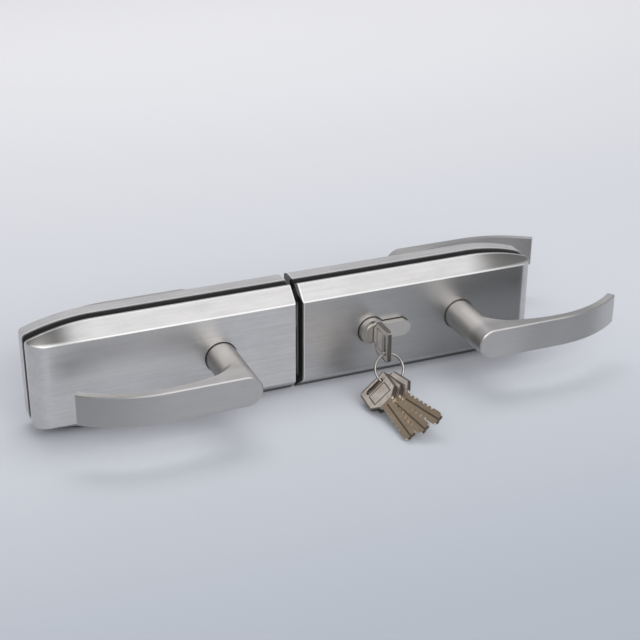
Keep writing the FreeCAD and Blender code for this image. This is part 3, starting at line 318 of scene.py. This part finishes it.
def zinc_finish(name, light, dark, roughness):
    """Plated steel: fine grain over the flakes of the zinc."""
    finish = Finish(name)
    grain = finish.noise(180.0, detail=4.0, roughness=0.6)
    flake_values = {"Vector": finish.place, "Scale": 260.0}
    flakes = finish.node("ShaderNodeTexVoronoi", values=flake_values, output="Distance")
    tone = 0.6 * grain + 0.4 * flakes
    colour = finish.blend(tone.ramp(0.25, 0.75), dark, light)
    return finish.surface(colour, roughness + 0.15 * grain, 1.0, finish.bump(grain, 0.04 * MM, 0.4))


def rubber_finish():
    """Black rubber with dust in patches."""
    finish = Finish("black_rubber")
    grain = finish.noise(900.0, detail=3.0)
    dust = finish.noise(70.0, detail=4.0).ramp(0.45, 0.80)
    colour = finish.blend(dust * 0.5, (0.004, 0.004, 0.004), (0.016, 0.016, 0.017))
    relief = finish.bump(grain, 0.08 * MM, 0.5)
    return finish.surface(colour, 0.65 + 0.20 * grain, 0.0, relief, **{"Specular IOR Level": 0.25})


def plastic_finish():
    finish = Finish("black_moulded_plastic")
    grain = finish.noise(1500.0)
    colour = finish.blend(grain, (0.016, 0.016, 0.017), (0.028, 0.028, 0.030))
    return finish.surface(colour, 0.42 + 0.15 * grain, 0.0, finish.bump(grain, 0.05 * MM, 0.4))


def cylinder_finish():
    """Satin nickel with the marks of milling along the cylinder."""
    finish = Finish("satin_nickel_of_cylinder")
    milled = finish.noise((2200.0, 90.0, 2200.0))
    clouds = finish.noise(80.0, detail=3.0)
    colour = finish.blend(milled * 0.6 + clouds * 0.4, (0.40, 0.38, 0.355), (0.57, 0.55, 0.515))
    roughness = 0.20 + 0.15 * clouds + 0.06 * milled
    return finish.surface(colour, roughness, 1.0, finish.bump(milled, 0.03 * MM, 0.4))


def key_finish(name, shoulder, length_axis, width_axis, light, dark):
    """Nickel of a key that lies in its own plane: painted shade on its sides, grooves and bow edge, browner
    blade, painted glints on the cuts.
    """
    bow_edge_shade, blade_brown = (0.11, 0.095, 0.085), (0.32, 0.245, 0.165)
    groove_shade, cut_glint = (0.10, 0.085, 0.07), (0.95, 0.92, 0.88)
    finish = Finish("nickel_of_" + name)
    x, y, z = finish.axes()

    def along(axis):
        return x * axis.x + y * axis.y + z * axis.z - shoulder.dot(axis)

    length = along(length_axis)
    width = abs(along(width_axis))
    height = abs(along(length_axis.cross(width_axis)))
    milled = finish.noise(900.0)
    tarnish = finish.noise(160.0, detail=4.0, roughness=0.6)
    recess = height.fade(*RECESS_HEIGHTS)
    blade = length.ramp(*BLADE_START)
    cuts = blade * width.ramp(*CUT_WIDTHS) * recess
    side = width.ramp(*BOW_SIDE).most((width + BOW_SHOULDER_SLOPE * length).ramp(*BOW_SHOULDER))
    bow_edge = (1 - blade) * side.most(length.fade(*BOW_END))
    colour = finish.blend(tarnish.ramp(0.35, 0.70), light, dark)
    # Painted shade on the bow's edge, the key's sides and its grooves, and painted glints on the cuts
    colour = finish.blend(bow_edge * 0.85, colour, bow_edge_shade)
    colour = finish.blend(blade * 0.9, colour, blade_brown)
    colour = finish.blend(recess * 0.85, colour, groove_shade)
    colour = finish.blend(cuts * 0.9, colour, cut_glint)
    roughness = 0.20 + 0.16 * tarnish + 0.06 * milled
    return finish.surface(colour, roughness, 1.0, finish.bump(milled, 0.02 * MM, 0.3))


def door_key_finish():
    """The key in the lock lies along Y with its width upright, and is paler than the spare keys."""
    shoulder = Vector((PLUG_AXIS.x, KEY_SHOULDER_Y, PLUG_AXIS.z))
    light, dark = (1.0, 0.96, 0.91), (0.86, 0.80, 0.74)
    return key_finish("door_key", shoulder, Vector((0, 1, 0)), Vector((0, 0, 1)), light, dark)


def spare_key_finish(name, joint_name, slot_place, fan):
    """A spare key's plane has the lean that all three share, and its fan turns it in that plane."""
    pitch = Matrix.Rotation(math.radians(SPARE_PITCH), 3, "X")
    roll = Matrix.Rotation(math.radians(-SPARE_ROLL), 3, "Y")
    turn = pitch @ roll @ Matrix.Rotation(math.radians(fan - 90), 3, "Z")
    length_axis, width_axis = turn.col[0], turn.col[1]
    shoulder = joint_places[joint_name] + length_axis * RING_TO_SHOULDER - width_axis * slot_place
    return key_finish(name, shoulder, length_axis, width_axis, (0.76, 0.69, 0.64), (0.58, 0.51, 0.455))


def bolt_finish():
    """Polished nickel with sliding marks along X."""
    finish = Finish("polished_nickel")
    marks = finish.noise((60.0, 900.0, 900.0), detail=3.0)
    colour = finish.blend(marks, (0.30, 0.29, 0.28), (0.44, 0.43, 0.41))
    return finish.surface(colour, 0.16 + 0.14 * marks, 1.0, finish.bump(marks, 0.02 * MM, 0.4))


def dress_nodes():
    """Gives every CAD node the finish of its material slot, or its own where it has one."""
    by_slot = {
        "satin_steel": satin_cover_finish(),
        "lever_steel": satin_lever_finish(),
        "plate_steel": zinc_finish("zinc_plated_sheet", (0.55, 0.56, 0.56), (0.40, 0.41, 0.42), 0.32),
        "screw_steel": zinc_finish("zinc_plated_screws", (0.50, 0.51, 0.52), (0.34, 0.35, 0.37), 0.26),
        "spring_steel": zinc_finish("spring_wire", (0.42, 0.43, 0.44), (0.28, 0.29, 0.31), 0.24),
        "gasket_rubber": rubber_finish(),
        "bush_plastic": plastic_finish(),
        "cylinder_brass": cylinder_finish(),
        "bolt_steel": bolt_finish(),
    }
    by_node = {
        "lock_forend": forend_finish(),
        "key_ring": zinc_finish("darkened_ring_wire", (0.36, 0.345, 0.33), (0.20, 0.19, 0.18), 0.26),
        "door_key": door_key_finish(),
    }
    by_node["strike_forend"] = by_node["lock_forend"]
    for name, (joint_name, slot_place, fan) in SPARE_KEYS.items():
        by_node[name] = spare_key_finish(name, joint_name, slot_place, fan)
    for part in frame["record"]["subparts"]:
        node = nodes[part["node"]]
        finish = by_node.get(part["node"]) or by_slot[part["material_slot"]]
        if not node.material_slots:
            node.data.materials.append(finish)
        for material_slot in node.material_slots:
            material_slot.material = finish


# Floor, light and camera

def floor_finish():
    """Pale floor with painted shade: greyer towards the camera and whiter towards the backdrop."""
    near_grey, middle_grey, far_white = (0.37, 0.41, 0.465), (0.60, 0.615, 0.66), (0.90, 0.895, 0.91)
    mottle_grey = (0.60, 0.62, 0.66)
    near_stretch, far_stretch = (-0.32, 0.06), (0.0, 0.95)
    finish = Finish("pale_seamless_floor")
    _, y, _ = finish.axes()
    mottled = finish.noise(3.0, detail=3.0)
    colour = finish.blend(y.ramp(*near_stretch), near_grey, middle_grey)
    colour = finish.blend(y.ramp(*far_stretch), colour, far_white)
    colour = finish.blend(mottled * 0.06, colour, mottle_grey)
    return finish.surface(colour, 0.55, 0.0)


def add_to_scene(thing):
    bpy.context.scene.collection.objects.link(thing)


def make_floor():
    """Floor that curves up into a backdrop far behind the object."""
    half_width = 7.0
    near, flat_end, radius, top = -6.0, 1.6, 0.8, 3.0
    steps = 16
    profile = [(near, 0.0), (flat_end, 0.0)]
    for i in range(1, steps + 1):
        turn = math.pi / 2 * i / steps
        profile.append((flat_end + radius * math.sin(turn), radius * (1 - math.cos(turn))))
    profile.append((flat_end + radius, top))
    points = [(side, y, z) for side in (-half_width, half_width) for y, z in profile]
    count = len(profile)
    faces = [(i, count + i, count + i + 1, i + 1) for i in range(count - 1)]
    mesh = bpy.data.meshes.new("floor")
    mesh.from_pydata(points, [], faces)
    for polygon in mesh.polygons:
        polygon.use_smooth = True
    mesh.materials.append(floor_finish())
    floor = bpy.data.objects.new("floor", mesh)
    add_to_scene(floor)


def make_world():
    world = bpy.data.worlds.new("studio")
    world.use_nodes = True
    tree = world.node_tree
    tree.nodes.clear()
    output = tree.nodes.new("ShaderNodeOutputWorld")
    background = tree.nodes.new("ShaderNodeBackground")
    background.inputs["Color"].default_value = (0.97, 0.98, 1.0, 1.0)
    background.inputs["Strength"].default_value = 0.48
    tree.links.new(background.outputs[0], output.inputs[0])
    bpy.context.scene.world = world


def area_light(name, place, target, size, power):
    """A soft light that looks from its place at its target: metres and watts."""
    lamp = bpy.data.lights.new(name, "AREA")
    lamp.shape = "RECTANGLE"
    lamp.size, lamp.size_y = size
    lamp.energy = power
    light = bpy.data.objects.new(name, lamp)
    light.location = place
    light.rotation_euler = (Vector(target) - Vector(place)).to_track_quat("-Z", "Y").to_euler()
    add_to_scene(light)


def make_lights():
    """A box high at the right front, a wall far in front, and a box over the back."""
    area_light("front_softbox", (0.48, -0.80, 1.35), (0.30, -0.30, 0.0), size=(1.25, 1.2), power=3.0)
    area_light("front_wall", (0.2, -2.6, 1.7), (0.1, -0.1, 0.0), size=(5.0, 1.8), power=80.0)
    area_light("overhead_softbox", (0.2, 0.55, 1.5), (0.0, 0.0, 0.0), size=(1.2, 0.7), power=6.0)


def make_camera():
    """The photograph's camera: yaw to the right, pitch down, roll about the line of sight."""
    yaw, pitch, roll = (math.radians(angle) for angle in (CAMERA_YAW, CAMERA_PITCH, CAMERA_ROLL))
    forward = Vector((math.sin(yaw) * math.cos(pitch), math.cos(yaw) * math.cos(pitch), -math.sin(pitch)))
    level = Vector((math.cos(yaw), -math.sin(yaw), 0.0))
    upright = level.cross(forward)
    right = math.cos(roll) * level + math.sin(roll) * upright
    up = -math.sin(roll) * level + math.cos(roll) * upright
    data = bpy.data.cameras.new("camera")
    data.sensor_fit = "HORIZONTAL"
    data.sensor_width = SENSOR_WIDTH
    data.lens = FOCAL_PIXELS / PHOTO_PIXELS * SENSOR_WIDTH
    data.clip_start = CLIP_START
    data.clip_end = CLIP_END
    camera = bpy.data.objects.new("camera", data)
    turn = Matrix((right, up, -forward)).transposed().to_4x4()
    camera.matrix_world = Matrix.Translation(CAMERA_PLACE) @ turn
    add_to_scene(camera)
    bpy.context.scene.camera = camera


dress_nodes()
make_floor()
make_world()
make_lights()
make_camera()
bpy.context.scene.view_settings.view_transform = "Standard"
